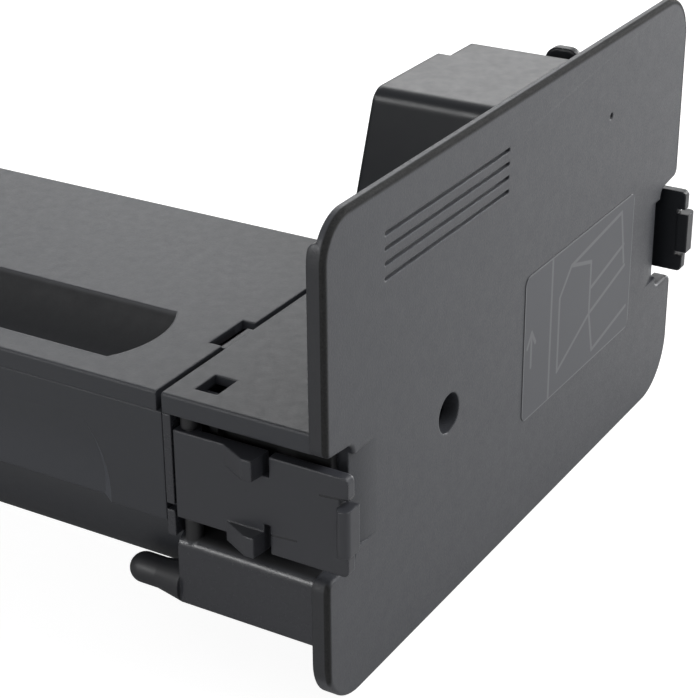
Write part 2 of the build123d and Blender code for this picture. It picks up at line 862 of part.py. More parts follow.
def gear_face(teeth):
    """Involute gear outline, with its first tooth on the x axis."""
    pitch_radius = gear_module * teeth / 2
    base_radius = pitch_radius * cos(radians(pressure_angle))
    tip_radius = pitch_radius + gear_module * addendum
    root_radius = pitch_radius - gear_module * dedendum
    start_radius = max(base_radius, root_radius)

    def involute(radius):
        roll = acos(min(1.0, base_radius / radius))
        return tan(roll) - roll

    half_tooth = pi / 2 / teeth - backlash / 2 / pitch_radius + involute(pitch_radius)
    steps = [step / flank_steps for step in range(flank_steps + 1)]
    radii = [start_radius + (tip_radius - start_radius) * step for step in steps]
    flank = [(radius, half_tooth - involute(radius)) for radius in radii]
    flank = [(root_radius - tooth_sink, flank[0][1])] + flank
    lower = [(radius * cos(angle), -radius * sin(angle)) for radius, angle in flank]
    upper = [(radius * cos(angle), radius * sin(angle)) for radius, angle in reversed(flank)]
    with BuildSketch() as face:
        Circle(root_radius)
        with PolarLocations(0, teeth):
            with BuildLine():
                Polyline(*lower, *upper, close=True)
            make_face()
    return face.sketch


def direction(from_x, from_height, to_x, to_height):
    """Angle of the line from one shaft to another, in degrees."""
    return degrees(atan2(to_height - from_height, to_x - from_x))


# A coupler tooth points at the auger's shaft, and the other gears turn their gaps to it
to_auger = direction(coupler_x, coupler_height, auger_x, auger_height)
to_agitator = direction(coupler_x, coupler_height, agitator_x, agitator_height)
coupler_pitch = 360 / coupler_teeth
tooth_lag = (to_agitator - to_auger) % coupler_pitch
auger_turn = to_auger + 180 + 180 / auger_teeth
agitator_turn = to_agitator + 180 + tooth_lag * coupler_teeth / agitator_teeth + 180 / agitator_teeth
gear_front = tank_rear + gear_gap
gear_rear = gear_front + gear_width

# Drive coupler: a pinion on the tank's stud, with a dog ring that the machine turns
with BuildPart() as drive_coupler:
    with BuildSketch(facing_front(gear_rear)):
        with Locations((coupler_x, coupler_height)):
            add(gear_face(coupler_teeth), rotation=to_auger)
    extrude(amount=gear_width)
    with BuildSketch(facing_front(rear_depth - wall)):
        with Locations((coupler_x, coupler_height)):
            Circle(dog_ring_radius)
    extrude(amount=rear_depth - wall - gear_rear)
    with BuildSketch(facing_front(rear_depth - wall)):
        with Locations((coupler_x, coupler_height)):
            Circle(dog_ring_radius)
            Circle(dog_bore_radius, mode=Mode.SUBTRACT)
            with PolarLocations(0, dog_count):
                Rectangle(2 * dog_ring_radius, dog_width, align=(Align.MIN, Align.CENTER), mode=Mode.SUBTRACT)
    extrude(amount=-wall)
    with BuildSketch(facing_front(gear_front)):
        with Locations((coupler_x, coupler_height)):
            Circle(stud_radius + running_gap)
    extrude(amount=-(gear_room - wall - gear_gap), mode=Mode.SUBTRACT)

# Feed auger: a screw that carries toner along the small trough. Its flight stops short of
# the outlet, where the toner drops.
flight_start = tank_front + tank_front_wall + flight_end_room
flight_end = outlet_depth - flight_end_room
with BuildPart() as feed_auger:
    with BuildSketch(facing_front(tank_rear - tank_rear_wall - fit_gap)):
        with Locations((auger_x, auger_height)):
            Circle(auger_shaft_radius)
    extrude(amount=tank_rear - tank_rear_wall - tank_front - tank_front_wall - 2 * fit_gap)
    with BuildSketch(facing_front(gear_rear)):
        with Locations((auger_x, auger_height)):
            Circle(shaft_radius)
    extrude(amount=gear_rear - tank_rear + tank_rear_wall + fit_gap)
    with BuildSketch(facing_front(tank_front + tank_front_wall + fit_gap)):
        with Locations((auger_x, auger_height)):
            Circle(journal_radius)
    extrude(amount=journal_length)
    with BuildLine(mode=Mode.PRIVATE) as flight_line:
        Helix(
            pitch=flight_pitch,
            height=flight_end - flight_start,
            radius=(auger_shaft_radius + auger_radius) / 2,
            center=(auger_x, front_y + flight_start, auger_height),
            direction=(0, 1, 0),
        )
    flight_root = flight_line.wire() @ 0
    outwards = (flight_root - Vector(auger_x, front_y + flight_start, auger_height)).normalized()
    with BuildSketch(Plane(origin=flight_root, x_dir=outwards, z_dir=flight_line.wire() % 0)):
        Rectangle(auger_radius - auger_shaft_radius + fit_gap, flight_thickness)
    sweep(path=flight_line.wire(), is_frenet=True)

with BuildPart() as auger_gear:
    with BuildSketch(facing_front(gear_rear)):
        with Locations((auger_x, auger_height)):
            add(gear_face(auger_teeth), rotation=auger_turn)
            Circle(shaft_radius, mode=Mode.SUBTRACT)
    extrude(amount=gear_width)

# Agitator: a shaft with a long blade that carries a flexible film
blade_start = tank_front + tank_front_wall + blade_end_room
blade_end = tank_rear - tank_rear_wall - blade_end_room
stake_step = (blade_end - blade_start) / stake_count
stake_centre = (blade_radius + shaft_radius) / 2
with BuildPart() as agitator_shaft:
    with BuildSketch(facing_front(gear_rear)):
        with Locations((agitator_x, agitator_height)):
            Circle(shaft_radius)
    extrude(amount=gear_rear - tank_front - tank_front_wall - fit_gap)
    with BuildSketch(facing_front(tank_front + tank_front_wall + fit_gap)):
        with Locations((agitator_x, agitator_height)):
            Circle(journal_radius)
    extrude(amount=journal_length)
    with BuildSketch(facing_front(blade_end)):
        panel_between(
            agitator_x,
            agitator_x + blade_radius,
            agitator_height - blade_root / 2,
            agitator_height + blade_root / 2,
        )
    extrude(amount=blade_end - blade_start)
    with BuildSketch(from_above(agitator_height + blade_root / 2)):
        for stake in range(stake_count):
            with Locations((agitator_x + stake_centre, blade_start + (stake + 0.5) * stake_step)):
                Circle(stake_radius)
    extrude(amount=film_thickness + stake_height)

with BuildPart() as agitator_film:
    slit_step = (blade_end - blade_start) / (film_slit_count + 1)
    with BuildSketch(from_above(agitator_height + blade_root / 2)):
        panel_between(agitator_x + shaft_radius, agitator_x + film_radius, blade_start, blade_end)
        for slit in range(film_slit_count):
            with Locations((agitator_x + film_radius, blade_start + (slit + 1) * slit_step)):
                Rectangle(2 * (film_radius - blade_radius), film_slit, mode=Mode.SUBTRACT)
        for stake in range(stake_count):
            with Locations((agitator_x + stake_centre, blade_start + (stake + 0.5) * stake_step)):
                Circle(stake_radius, mode=Mode.SUBTRACT)
    extrude(amount=film_thickness)

with BuildPart() as agitator_gear:
    with BuildSketch(facing_front(gear_rear)):
        with Locations((agitator_x, agitator_height)):
            add(gear_face(agitator_teeth), rotation=agitator_turn)
            Circle(shaft_radius, mode=Mode.SUBTRACT)
    extrude(amount=gear_width)


def shaft_seal(x, height):
    """Felt ring that fills the rear wall's opening round a shaft."""
    with BuildPart() as ring:
        with BuildSketch(facing_front(tank_rear - fit_gap)):
            with Locations((x, height)):
                Circle(seal_radius)
                Circle(shaft_radius + running_gap, mode=Mode.SUBTRACT)
        extrude(amount=seal_length)
    return ring


def shaft_bush(x, height):
    """Bush in the front wall that carries a journal."""
    with BuildPart() as bush:
        with BuildSketch(facing_front(tank_front + tank_front_wall)):
            with Locations((x, height)):
                Circle(bush_radius)
        extrude(amount=tank_front_wall)
        with BuildSketch(facing_front(tank_front + tank_front_wall)):
            with Locations((x, height)):
                Circle(journal_radius + running_gap)
        extrude(amount=journal_length, mode=Mode.SUBTRACT)
    return bush


auger_seal = shaft_seal(auger_x, auger_height)
agitator_seal = shaft_seal(agitator_x, agitator_height)
auger_bush = shaft_bush(auger_x, auger_height)
agitator_bush = shaft_bush(agitator_x, agitator_height)

# Outlet frame under the trough: a collar round the outlet, the rails that the shutter
# slides in, and a stop at each end of its travel
collar_left_x = outlet_left_x - collar_wall
collar_right_x = outlet_right_x + collar_wall
shutter_top = collar_bottom - gasket_thickness
shutter_bottom = shutter_top - shutter_thickness
shutter_front = outlet_depth - shutter_overlap
shutter_rear = outlet_rear + shutter_overlap
track_front = shutter_front - shutter_travel
lip_bottom = shutter_bottom - shutter_gap - rail_floor
frame_front = track_front - collar_wall
frame_rear = shutter_rear + collar_wall
with BuildPart() as outlet_frame:
    with BuildSketch(from_above(collar_bottom)):
        panel_between(collar_left_x, collar_right_x, frame_front, frame_rear)
        panel_between(outlet_left_x, outlet_right_x, outlet_depth, outlet_rear, Mode.SUBTRACT)
    extrude(amount=auger_height - collar_bottom)
    with BuildSketch(facing_front(frame_rear)):
        panel_between(collar_left_x - rail_wall, collar_right_x + rail_wall, lip_bottom, auger_height)
        panel_between(collar_left_x, collar_right_x, lip_bottom + rail_floor, auger_height, Mode.SUBTRACT)
        panel_between(collar_left_x + rail_lip, collar_right_x - rail_lip, 0, auger_height, Mode.SUBTRACT)
    extrude(amount=frame_rear - frame_front)
    with BuildSketch(from_above(shutter_bottom)):
        panel_between(collar_left_x, collar_right_x, frame_front, track_front - fit_gap)
        panel_between(collar_left_x, collar_right_x, shutter_rear + fit_gap, frame_rear)
    extrude(amount=collar_bottom - shutter_bottom)
    with BuildSketch(facing_front(frame_rear)):
        with Locations((auger_x, auger_height)):
            Circle(auger_trough_radius)
    extrude(amount=frame_rear - frame_front, mode=Mode.SUBTRACT)

# Outlet gasket and the shutter that slides forwards to open the outlet
with BuildPart() as outlet_gasket:
    with BuildSketch(from_above(shutter_top)):
        panel_between(collar_left_x, collar_right_x, shutter_front, shutter_rear)
        panel_between(outlet_left_x, outlet_right_x, outlet_depth, outlet_rear, Mode.SUBTRACT)
    extrude(amount=gasket_thickness)

with BuildPart() as outlet_shutter:
    with BuildSketch(from_above(shutter_bottom)):
        panel_between(collar_left_x + shutter_gap, collar_right_x - shutter_gap, shutter_front, shutter_rear)
    extrude(amount=shutter_thickness - shutter_gap)
    with BuildSketch(from_above(shutter_bottom - thumb_rib)):
        rib_middle = (shutter_front + shutter_rear) / 2
        for rib in (-1, 0, 1):
            with Locations((auger_x, rib_middle + rib * 2 * thumb_rib)):
                Rectangle(outlet_width / 2, thumb_rib)
    extrude(amount=thumb_rib)

# Fill plug in the tank's front wall, with a lip that holds it from inside
with BuildPart() as fill_plug:
    with BuildSketch(facing_front(tank_front + tank_front_wall)):
        with Locations((plug_x, plug_height)):
            Circle(plug_radius)
    extrude(amount=tank_front_wall)
    with BuildSketch(facing_front(tank_front + tank_front_wall)):
        with Locations((plug_x, plug_height)):
            Circle(plug_lip_radius)
    extrude(amount=-plug_lip)

# Rear cover over the gears, with a bore that the coupler comes through
with BuildSketch() as cover_section:
    add(tank_section.sketch)
    panel_between(-side_x, tank_right_x, ledge_height, deck_height)

board_seat_depth = (tank_rear + cover_rear) / 2
with BuildPart() as rear_cover:
    with BuildSketch(facing_front(cover_rear)):
        add(cover_section.sketch)
    extrude(amount=gear_room - fit_gap)
    fillet(edges().group_by(Axis.Y)[-1], cover_edge_radius)
    with BuildSketch(facing_front(cover_rear - wall)):
        add(cover_section.sketch)
        offset(amount=-wall)
    extrude(amount=gear_room, mode=Mode.SUBTRACT)
    with BuildSketch(facing_front(cover_rear)):
        with Locations((coupler_x, coupler_height)):
            Circle(dog_ring_radius + cover_bore_gap)
    extrude(amount=wall, mode=Mode.SUBTRACT)
    for place in screw_points:
        with BuildSketch(facing_front(cover_rear)):
            with Locations(place):
                Circle(screw_radius + fit_gap)
        extrude(amount=wall, mode=Mode.SUBTRACT)
    with BuildSketch(facing_left(tank_right_x)):
        panel_between(
            board_seat_depth - board_length / 2 - fit_gap,
            board_seat_depth + board_length / 2 + fit_gap,
            board_height - board_width / 2 - fit_gap,
            board_height + board_width / 2 + fit_gap,
        )
    extrude(amount=-board_seat, mode=Mode.SUBTRACT)

with BuildPart() as memory_board:
    with BuildSketch(facing_left(tank_right_x - board_seat)):
        with Locations((board_seat_depth, board_height)):
            Rectangle(board_length, board_width)
    extrude(amount=board_thickness)

with BuildPart() as contact_pads:
    with BuildSketch(facing_left(tank_right_x - board_seat + board_thickness)):
        with Locations((board_seat_depth, board_height)):
            with GridLocations(0, pad_pitch, 1, pad_count):
                Rectangle(2 * pad_size, pad_size)
    extrude(amount=pad_thickness)

with BuildPart() as cover_screws:
    for place in screw_points:
        with BuildSketch(facing_front(cover_rear)):
            with Locations(place):
                Circle(screw_radius)
        extrude(amount=screw_length)
        with BuildSketch(facing_front(cover_rear)):
            with Locations(place):
                Circle(screw_head_radius)
        extrude(amount=-screw_head)

pieces = {
    "front_plate": front_plate,
    "label": label,
    "front_housing": front_housing,
    "end_cover": end_cover,
    "side_cover": side_cover,
    "waste_bin": waste_bin,
    "waste_bin_cover": waste_bin_cover,
    "latch_left": latch_left,
    "latch_right": latch_right,
    "latch_pin_left": latch_pin_left,
    "latch_pin_right": latch_pin_right,
    "latch_spring_left": latch_spring_left,
    "latch_spring_right": latch_spring_right,
    "toner_tank": toner_tank,
    "hopper_lid": hopper_lid,
    "drive_coupler": drive_coupler,
    "feed_auger": feed_auger,
    "auger_gear": auger_gear,
    "agitator_shaft": agitator_shaft,
    "agitator_film": agitator_film,
    "agitator_gear": agitator_gear,
    "auger_seal": auger_seal,
    "agitator_seal": agitator_seal,
    "auger_bush": auger_bush,
    "agitator_bush": agitator_bush,
    "outlet_frame": outlet_frame,
    "outlet_gasket": outlet_gasket,
    "outlet_shutter": outlet_shutter,
    "fill_plug": fill_plug,
    "rear_cover": rear_cover,
    "memory_board": memory_board,
    "contact_pads": contact_pads,
    "cover_screws": cover_screws,
}

os.makedirs("parts", exist_ok=True)
for node, piece in pieces.items():
    piece.part.label = node
    export_step(piece.part, f"parts/{node}.step")
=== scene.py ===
import bpy
import numpy as np
from bpy.props import FloatProperty, FloatVectorProperty, PointerProperty
from math import pi, radians
from mathutils import Euler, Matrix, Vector


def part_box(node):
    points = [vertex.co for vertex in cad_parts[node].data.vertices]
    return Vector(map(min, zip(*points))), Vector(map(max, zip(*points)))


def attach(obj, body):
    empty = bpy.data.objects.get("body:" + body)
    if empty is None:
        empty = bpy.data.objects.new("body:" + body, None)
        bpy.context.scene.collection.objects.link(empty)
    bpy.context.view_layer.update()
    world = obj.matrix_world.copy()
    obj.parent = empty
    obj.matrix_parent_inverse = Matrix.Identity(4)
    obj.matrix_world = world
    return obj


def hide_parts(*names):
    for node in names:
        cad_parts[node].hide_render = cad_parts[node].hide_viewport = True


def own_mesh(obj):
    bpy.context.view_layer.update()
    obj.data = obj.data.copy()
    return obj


bl_info = {
    "name": "Toner Cartridge Finishes",
    "version": (1, 0, 0),
    "blender": (4, 5, 0),
    "location": "View3D > Sidebar > Cartridge",
    "description": "Moulded finishes, springs, screws and a studio for the toner cartridge",
    "category": "Object",
}

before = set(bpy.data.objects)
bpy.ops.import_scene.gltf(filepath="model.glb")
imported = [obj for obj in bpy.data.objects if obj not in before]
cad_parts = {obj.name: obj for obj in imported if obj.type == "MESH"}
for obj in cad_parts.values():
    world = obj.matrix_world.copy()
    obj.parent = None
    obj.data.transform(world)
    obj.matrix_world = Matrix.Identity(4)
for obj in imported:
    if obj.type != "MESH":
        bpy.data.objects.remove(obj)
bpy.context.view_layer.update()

MM = 0.001


def color_setting(name, description, red, green, blue):
    """Opaque colour that can be changed."""
    return FloatVectorProperty(
        name=name,
        description=description,
        subtype="COLOR",
        size=4,
        min=0.0,
        max=1.0,
        default=(red, green, blue, 1.0),
    )


def length_setting(name, description, default, low, high, precision=5):
    """Length that can be changed, with its default and its limits in millimetres."""
    return FloatProperty(
        name=name,
        description=description,
        subtype="DISTANCE",
        unit="LENGTH",
        default=default * MM,
        min=low * MM,
        max=high * MM,
        precision=precision,
    )


def number_setting(name, description, default, low, high, unit="NONE"):
    """Number that can be changed, with its limits."""
    return FloatProperty(
        name=name,
        description=description,
        unit=unit,
        default=default,
        min=low,
        max=high,
    )


def power_setting(name, description, default):
    """Power of a lamp in watts."""
    return number_setting(name, description, default, 0.0, 500.0, unit="POWER")


class PlasticSettings(bpy.types.PropertyGroup):
    """Colours and grain of the moulded plastic."""

    plate_color: color_setting(
        "Plate Colour", "Colour of the front plate's plastic", 0.061, 0.064, 0.073
    )
    tank_color: color_setting(
        "Tank Colour", "Colour of the tank, the lid and the covers", 0.041, 0.044, 0.052
    )
    housing_color: color_setting(
        "Housing Colour",
        "Colour of the front housing, the left latch and the outlet",
        0.043,
        0.045,
        0.053,
    )
    # The bin's colour also serves the right latch, as painted shade.
    bin_color: color_setting(
        "Bin Colour", "Colour of the waste toner bin and the right latch", 0.012, 0.014, 0.018
    )
    grain_size: length_setting(
        "Grain Size", "Width of one grain of the moulded texture", 0.45, 0.1, 2.0
    )
    grain_depth: length_setting(
        "Grain Depth", "Depth of the moulded texture", 0.02, 0.0, 0.2, precision=6
    )
    edge_radius: length_setting(
        "Edge Radius", "Softening that the mould gives to sharp edges", 0.3, 0.0, 1.0
    )


class LabelSettings(bpy.types.PropertyGroup):
    """Print on the front label."""

    film_color: color_setting("Film Colour", "Colour of the label's film", 0.080, 0.084, 0.095)
    print_color: color_setting("Print Colour", "Colour of the printed lines", 0.160, 0.164, 0.174)
    line_width: length_setting("Line Width", "Width of the printed lines", 0.45, 0.1, 2.0)


class SpringSettings(bpy.types.PropertyGroup):
    """Sizes of the latch springs."""

    turns: number_setting(
        "Turns", "Turns of the coil, the flat ones at its ends included", 5.0, 3.0, 12.0
    )
    wire_radius: length_setting("Wire Radius", "Radius of the spring wire", 0.25, 0.1, 0.5)
    steel_color: color_setting(
        "Steel Colour", "Colour of the spring wire and the latch pins", 0.56, 0.56, 0.57
    )


class ScrewSettings(bpy.types.PropertyGroup):
    """Sizes of the rear cover's screws."""

    dome: length_setting("Dome", "Rise of the head's crown above its rim", 0.8, 0.0, 1.5)
    recess_depth: length_setting("Recess Depth", "Depth of the cross recess", 1.1, 0.1, 1.5)
    thread_pitch: length_setting("Thread Pitch", "Pitch of the screw's thread", 1.1, 0.4, 2.0)
    head_height: length_setting("Head Height", "Height of the head", 1.75, 0.5, 3.0)
    shank_radius: length_setting("Shank Radius", "Radius of the threaded shank", 1.2, 0.5, 2.0)
    shank_length: length_setting("Shank Length", "Length of the threaded shank", 8.5, 3.0, 12.0)


class StudioSettings(bpy.types.PropertyGroup):
    """Floor, lamps and camera."""

    camera_place: FloatVectorProperty(
        name="Camera Place",
        description="Where the camera stands",
        subtype="TRANSLATION",
        unit="LENGTH",
        size=3,
        default=(-0.33348, -0.365668, 0.221626),
    )
    camera_turn: FloatVectorProperty(
        name="Camera Turn",
        description="How the camera is turned",
        subtype="EULER",
        unit="ROTATION",
        size=3,
        default=(radians(63.956), radians(0.367), radians(-59.433)),
    )
    lens: number_setting(
        "Lens", "Focal length in millimetres on a sensor 36 mm wide", 100.517, 10.0, 300.0
    )
    floor_size: length_setting("Floor Size", "Width of the floor", 8000.0, 1000.0, 20000.0)
    sky_fill: number_setting(
        "Sky Fill", "Strength of the even light from all round", 0.27, 0.0, 3.0
    )
    sky_mirror: number_setting(
        "Sky in Gloss",
        "Brightness of the surroundings as glossy surfaces reflect them",
        0.45,
        0.0,
        3.0,
    )
    floor_mirror: number_setting(
        "Floor in Gloss", "Brightness of the floor as glossy surfaces reflect it", 0.60, 0.0, 3.0
    )
    key_power: power_setting("Key Power", "Power of the large lamp above the front right", 15.0)
    back_power: power_setting("Back Power", "Power of the soft panel at the back right", 5.3)
    side_power: power_setting("Side Power", "Power of the small panel at the left", 3.1)
    right_power: power_setting(
        "Right Power", "Power of the low panel at the right, which brightens the plate there", 7.5
    )
    strip_power: power_setting(
        "Strip Power", "Power of the narrow lamp at the rear left, which draws the ridges", 4.5
    )


class CartridgeSettings(bpy.types.PropertyGroup):
    """All the sizes and colours that can be changed."""

    plastic: PointerProperty(type=PlasticSettings, name="Plastic", description="Moulded plastic")
    label: PointerProperty(type=LabelSettings, name="Label", description="Front label")
    spring: PointerProperty(type=SpringSettings, name="Springs", description="Latch springs")
    screw: PointerProperty(type=ScrewSettings, name="Screws", description="Rear cover's screws")
    studio: PointerProperty(type=StudioSettings, name="Studio", description="Floor and lamps")


class Term:
    """A socket of a finish that Python's own operators work on: each one adds a Math node."""

    def __init__(self, finish, socket):
        self.finish = finish
        self.socket = socket

    def math(self, operation, *others, clamp=False):
        """Add a Math node with this term as its first value."""
        settings = {"operation": operation, "use_clamp": clamp}
        return self.finish.add("Math", settings, dict(enumerate((self, *others))))

    def __add__(self, other):
        return self.math("ADD", other)

    def __radd__(self, other):
        return self.math("ADD", other)

    def __sub__(self, other):
        return self.math("SUBTRACT", other)

    def __rsub__(self, other):
        return self.math("MULTIPLY_ADD", -1.0, other)

    def __mul__(self, other):
        return self.math("MULTIPLY", other)

    def __rmul__(self, other):
        return self.math("MULTIPLY", other)

    def __pow__(self, other):
        return self.math("POWER", other)

    def __abs__(self):
        return self.math("ABSOLUTE")

    def clamped(self):
        """The term held between 0 and 1."""
        return self.math("ADD", 0.0, clamp=True)

    def larger(self, other):
        """The larger of two terms."""
        return self.math("MAXIMUM", other)

    def smaller(self, other):
        """The smaller of two terms."""
        return self.math("MINIMUM", other)

    def ramp(self, low, high):
        """Rise smoothly from 0 at low to 1 at high, or fall where high is the lower one."""
        settings = {"interpolation_type": "SMOOTHSTEP"}
        values = {"Value": self, "From Min": low, "From Max": high}
        if high < low:
            values.update({"From Min": high, "From Max": low, "To Min": 1.0, "To Max": 0.0})
        return self.finish.add("MapRange", settings, values)


class Finish:
    """The node graph of a material or a world, filled in with Python expressions."""

    def __init__(self, name, owner=None):
        self.owner = owner or bpy.data.materials.new(name)
        self.owner.use_nodes = True
        self.tree = self.owner.node_tree
        self.tree.nodes.clear()

    def add(self, kind, settings=None, inputs=None, output=0):
        """Add one node: settings come first, then a value or a link for each socket named."""
        node = self.tree.nodes.new("ShaderNode" + kind)
        for name, value in (settings or {}).items():
            setattr(node, name, value)
        for name, value in (inputs or {}).items():
            if isinstance(value, Term):
                self.tree.links.new(value.socket, node.inputs[name])
            else:
                node.inputs[name].default_value = value
        return Term(self, node.outputs[output]) if node.outputs else None

    def place(self):
        """Place on the object, in metres."""
        return self.add("TexCoord", output="Object")

    def axis(self, letter, place=None):
        """One coordinate of a place or a direction."""
        return self.add("SeparateXYZ", inputs={0: place or self.place()}, output=letter)

    def past(self, letter, start=0.0):
        """Millimetres along an axis past a start in metres."""
        return (self.axis(letter) - start) * (1 / MM)

    def short_of(self, letter, end):
        """Millimetres along an axis short of an end in metres."""
        return (end - self.axis(letter)) * (1 / MM)

    def stretched(self, scale):
        """The place with each axis scaled, for brushed or flowing patterns."""
        return self.add("Mapping", inputs={"Vector": self.place(), "Scale": scale})

    def noise(self, size, detail=2.0, rough=0.5, place=None):
        """Clouds whose features are about that many metres wide, from 0 to 1."""
        values = {"Vector": place or self.place(), "Scale": 1 / size}
        return self.add("TexNoise", inputs={**values, "Detail": detail, "Roughness": rough})

    def cells(self, size):
        """Distance to the nearest point of a scatter that many metres apart."""
        return self.add("TexVoronoi", inputs={"Vector": self.place(), "Scale": 1 / size})

    def rays(self):
        """1 for rays from the camera, from gloss and through glass, in this order."""
        kinds = ("Is Camera Ray", "Is Glossy Ray", "Is Transmission Ray")
        return [self.add("LightPath", output=kind) for kind in kinds]

    def mix(self, factor, first, second):
        """Blend two colours."""
        return self.add("Mix", {"data_type": "RGBA"}, {0: factor, 6: first, 7: second}, output=2)

    def shift(self, color, amount):
        """Multiply a colour, given as a term or as numbers, by one number."""
        base = color if isinstance(color, Term) else tuple(color)[:3]
        return self.add("VectorMath", {"operation": "SCALE"}, {0: base, "Scale": amount})

    def rounded(self, radius):
        """Normal with edges rounded off to that radius."""
        return self.add("Bevel", {"samples": 4}, {"Radius": radius})

    def edges(self, normal):
        """0 on a flat face, rising where the rounded normal leaves the true one."""
        first_bend, full_bend = 0.02, 0.3
        true = self.add("NewGeometry", output="True Normal")
        inputs = {0: normal, 1: true}
        facing = self.add("VectorMath", {"operation": "DOT_PRODUCT"}, inputs, output="Value")
        return (1.0 - facing).ramp(first_bend, full_bend)

    def bump(self, height, depth, normal=None):
        """Normal raised by a height from 0 to 1 that is depth metres deep."""
        values = {"Height": height, "Distance": depth}
        if normal is not None:
            values["Normal"] = normal
        return self.add("Bump", inputs=values)

    def shade(self, **sockets):
        """Finish the graph with a Principled shader."""
        values = {name.replace("_", " "): value for name, value in sockets.items()}
        shader = self.add("BsdfPrincipled", inputs=values)
        self.add("OutputMaterial", inputs={"Surface": shader})
        return self.owner


def dress(material, *nodes):
    """Give CAD nodes a finish."""
    for node in nodes:
        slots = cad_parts[node].data.materials
        slots.clear()
        slots.append(material)


def stroke(across, up, start, end, width):
    """1 on a straight stroke from start to end: the distance from each point to the nearest
    point of the segment, turned into a soft-edged line of that width."""
    outer_edge, inner_edge = 0.75 * width, 0.35 * width
    run = (end[0] - start[0], end[1] - start[1])
    length = run[0] ** 2 + run[1] ** 2
    dx = across - start[0]
    dy = up - start[1]
    share = (dx * (run[0] / length) + dy * (run[1] / length)).clamped()
    gap = ((dx - share * run[0]) ** 2 + (dy - share * run[1]) ** 2) ** 0.5
    return gap.ramp(outer_edge, inner_edge)


# Creases and painted light and shade of the moulded parts: the shade functions paint shade,
# shadow and highlights into the plastic's tone. Places are in millimetres from a side of the
# part's box, and heights are above the floor. A crease is a pair of points, and any other pair
# says where a ramp begins and where it ends.


def latch_creases(finish):
    """Two mould lines on the left latch, behind the finger notch and before the lower detent; the
    finish presses them in and darkens them with painted shade.
    """
    behind_notch = (0.2, 16.0), (6.8, 15.5)
    before_detent = (11.9, 4.4), (17.6, 4.0)
    low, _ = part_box("latch_left")
    along = finish.past("Y", low.y)
    up = finish.past("Z", low.z)
    first = stroke(along, up, *behind_notch, width=0.4)
    return first.larger(stroke(along, up, *before_detent, width=0.35))


def plate_painted_rim_shade(finish):
    """Painted shade on the plate: how much darker its polished rim is drawn, standing in for the
    shade and dark reflection on the rounded edge. The gap to the outline is that to a rectangle
    with rounded upper corners; the left side of the plate gets half as much painted shade."""
    left_radius, right_radius = 8.5, 11.0
    rim_width, rim_depth, side_width = (1.4, 0.6), (1.3, 0.8), (0.9, 0.3)
    rim_shade_share, side_shade_share = 0.95, 0.45
    low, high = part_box("front_plate")
    left = finish.past("X", low.x)
    right = finish.short_of("X", high.x)
    below = finish.short_of("Z", high.z)
    behind = finish.past("Y", low.y)

    def gap(side, radius):
        """Millimetres inside an outline whose upper corner has that radius."""
        reach = ((radius - side).larger(0.0) ** 2 + (radius - below).larger(0.0) ** 2) ** 0.5
        return radius - reach

    inside = gap(left, left_radius).smaller(gap(right, right_radius))
    rim = inside.ramp(*rim_width) * behind.ramp(*rim_depth)
    # Painted shade: the dark rim band, and the plate's left side in shade.
    return (rim * rim_shade_share).larger(left.ramp(*side_width) * side_shade_share)


def tank_painted_light_and_shade(finish):
    """Painted light and shade on the tank's side: paler down the finger scoop as painted light,
    palest on the scoop's curved end as a painted highlight, and darker below the ledge as painted
    shade."""
    ledge_low, ledge_high = 31.3, 31.7
    scoop_floor, scoop_slope, scoop_start = (2.6, 2.2), (0.1, 1.8), (0.02, 0.1)
    towards_rear = 0.15, 0.45
    belly_shade_share, scoop_light_share, end_highlight_share = 0.22, 0.34, 0.9
    low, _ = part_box("toner_tank")
    sunk = finish.past("X", low.x)
    height = finish.past("Z")
    facing = finish.axis("Y", finish.add("NewGeometry", output="Normal"))
    within = sunk.ramp(*scoop_floor) * height.ramp(ledge_low, ledge_high)
    # Painted shade below the ledge; the painted light down the scoop and the painted highlight on
    # its end are taken off, so they pale the tone.
    belly_painted_shade = height.ramp(ledge_high, ledge_low) * belly_shade_share
    slope = sunk.ramp(*scoop_slope) * within * scoop_light_share
    end = facing.ramp(*towards_rear) * sunk.ramp(*scoop_start) * within * end_highlight_share
    return belly_painted_shade - slope - end


def lid_painted_valley_shade(finish):
    """Painted shade in the lid's finger valley, which grows with its depth."""
    outer_side, inner_side, slope = (6.0, 7.0), (31.0, 30.2), (0.05, 1.2)
    valley_shade_share = 0.62
    low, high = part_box("hopper_lid")
    across = finish.past("X", low.x)
    sunk = finish.short_of("Z", high.z)
    return sunk.ramp(*slope) * across.ramp(*outer_side) * across.ramp(*inner_side) * valley_shade_share


def housing_painted_shade(finish):
    """Painted shade inside the housing's latch pockets, above the lower box, and on the guide peg.
    """
    pocket_rear, pocket_bottom, pocket_top = (30.1, 29.5), (27.8, 28.5), (56.0, 55.2)
    peg_front, peg_top = (29.9, 30.5), (27.0, 26.0)
    pocket_shade_share, peg_shade_share = 0.8, 0.5
    low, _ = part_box("front_housing")
    along = finish.past("Y", low.y)
    height = finish.past("Z")
    pocket = along.ramp(*pocket_rear) * height.ramp(*pocket_bottom) * height.ramp(*pocket_top)
    peg = along.ramp(*peg_front) * height.ramp(*peg_top)
    return pocket * pocket_shade_share + peg * peg_shade_share


